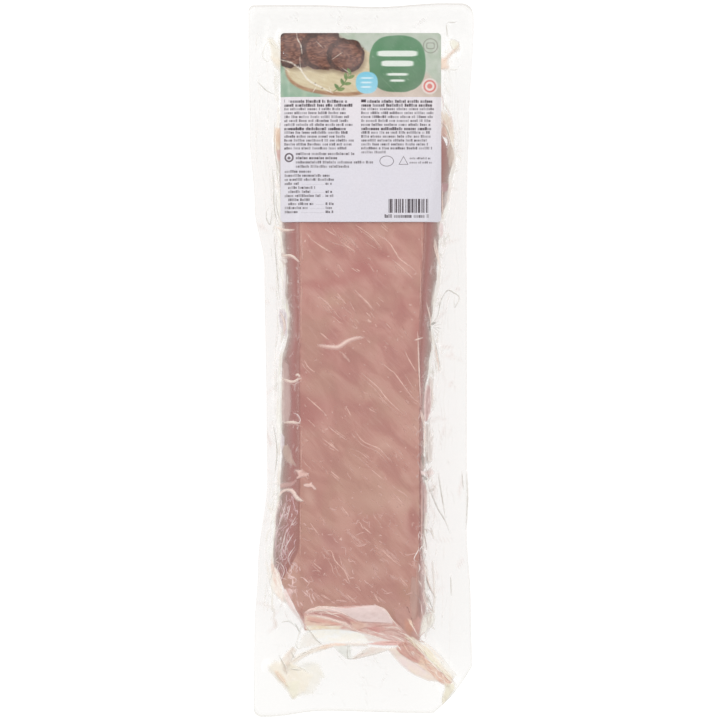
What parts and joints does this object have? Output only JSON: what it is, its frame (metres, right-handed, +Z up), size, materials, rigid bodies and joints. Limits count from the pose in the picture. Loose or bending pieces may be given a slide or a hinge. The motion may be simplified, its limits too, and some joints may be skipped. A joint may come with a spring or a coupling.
{
  "type": "salted pork fillet steak",
  "caption": "Long trimmed pork fillet drawn tight into a clear sealed vacuum pack with a flat rim all round and a paper label on top",
  "frame": {"origin": "on the table, under the middle of the pack's bounding box", "axes": "+Y runs along the pack towards the label's end, +X across it to the right as the picture shows it, +Z up"},
  "size_m": [0.1397, 0.4427, 0.047],
  "materials": {
    "sealed_pack": "glossy",
    "label": "satin"
  },
  "bodies": {
    "root": {"sealed_pack": "sealed_pack", "label": "label"}
  },
  "joints": []
}
